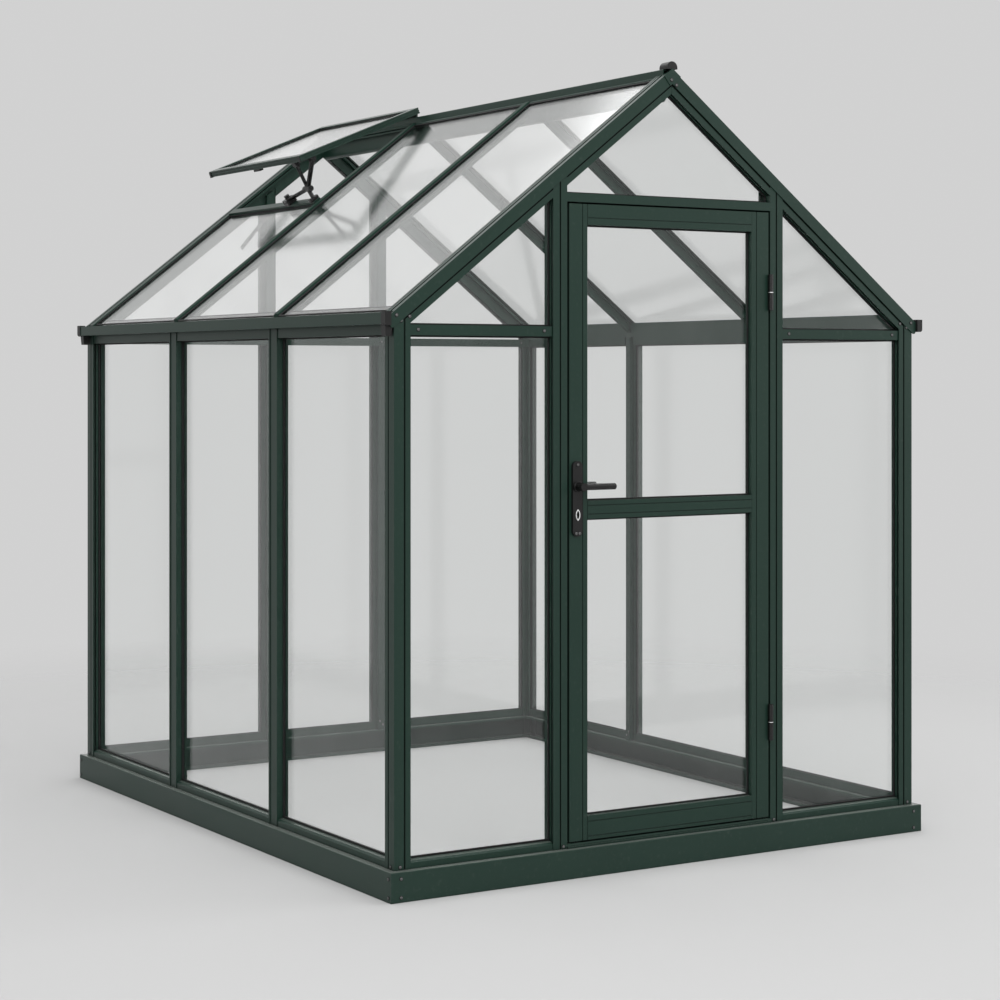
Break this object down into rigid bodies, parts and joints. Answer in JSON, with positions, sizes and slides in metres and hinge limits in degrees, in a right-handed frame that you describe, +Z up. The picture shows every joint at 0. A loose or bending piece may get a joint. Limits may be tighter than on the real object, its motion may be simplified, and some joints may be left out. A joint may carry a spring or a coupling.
{
  "type": "glass greenhouse",
  "caption": "Small free-standing greenhouse: coated metal glazing bars and clear glass on a folded base, hinged glazed door in the gable, gable roof with a raised vent.",
  "frame": {"origin": "middle of the base on the ground", "axes": "+X to the right along the door gable, +Y from the door gable into the building, +Z up"},
  "size_m": [1.856, 2.2215, 2.2745],
  "materials": {
    "green_coat": "dark green powder coat, satin",
    "base_coat": "dark green powder coat, satin",
    "door_coat": "dark green powder coat, satin",
    "clear_glass": "clear",
    "black_plastic": "moulded, fine grain",
    "black_metal": "black coating, satin"
  },
  "bodies": {
    "root": {"base_ends": "base_coat", "base_sides": "base_coat", "base_brackets": "base_coat", "corner_posts_front": "green_coat", "corner_posts_rear": "green_coat", "wall_bars_left": "green_coat", "wall_bars_right": "green_coat", "wall_bars_rear": "green_coat", "sills": "green_coat", "door_posts": "green_coat", "lintel": "green_coat", "threshold": "green_coat", "tie_beams_front": "green_coat", "tie_beam_rear": "green_coat", "gutter_left": "green_coat", "gutter_right": "green_coat", "gutter_ends": "black_plastic", "front_rafter_left": "green_coat", "front_rafter_right": "green_coat", "rear_rafter_left": "green_coat", "rear_rafter_right": "green_coat", "ridge_beam": "green_coat", "ridge_caps": "black_plastic", "apex_plates": "green_coat", "roof_bars_left": "green_coat", "roof_bars_right": "green_coat", "glass_left": "clear_glass", "glass_right": "clear_glass", "glass_front": "clear_glass", "glass_rear": "clear_glass", "glass_roof_left": "clear_glass", "glass_roof_right": "clear_glass", "vent_sill": "green_coat", "vent_frame": "green_coat", "vent_glass": "clear_glass", "vent_hinge": "green_coat", "vent_corners": "black_plastic", "vent_opener": "black_metal", "frame_hinges": "black_metal"},
    "door": {"door_stiles": "door_coat", "door_bottom_rail": "door_coat", "door_middle_rail": "door_coat", "door_top_rail": "door_coat", "door_glass": "clear_glass", "door_hinges": "black_metal", "handle_plates": "black_metal"},
    "lever": {"door_lever": "black_metal"}
  },
  "joints": [
    {"name": "door_hinge", "type": "hinge", "parent": "root", "child": "door", "pos_m": [0.34925, -1.087, 0.995], "axis": [0, 0, 1], "range_deg": [0, 110]},
    {"name": "lever_pivot", "type": "hinge", "parent": "door", "child": "lever", "pos_m": [-0.323, -1.062, 1.072], "axis": [0, 1, 0], "range_deg": [0, 45], "stiffness_Nm_per_rad": 1.2, "springref_deg": -28.65}
  ]
}
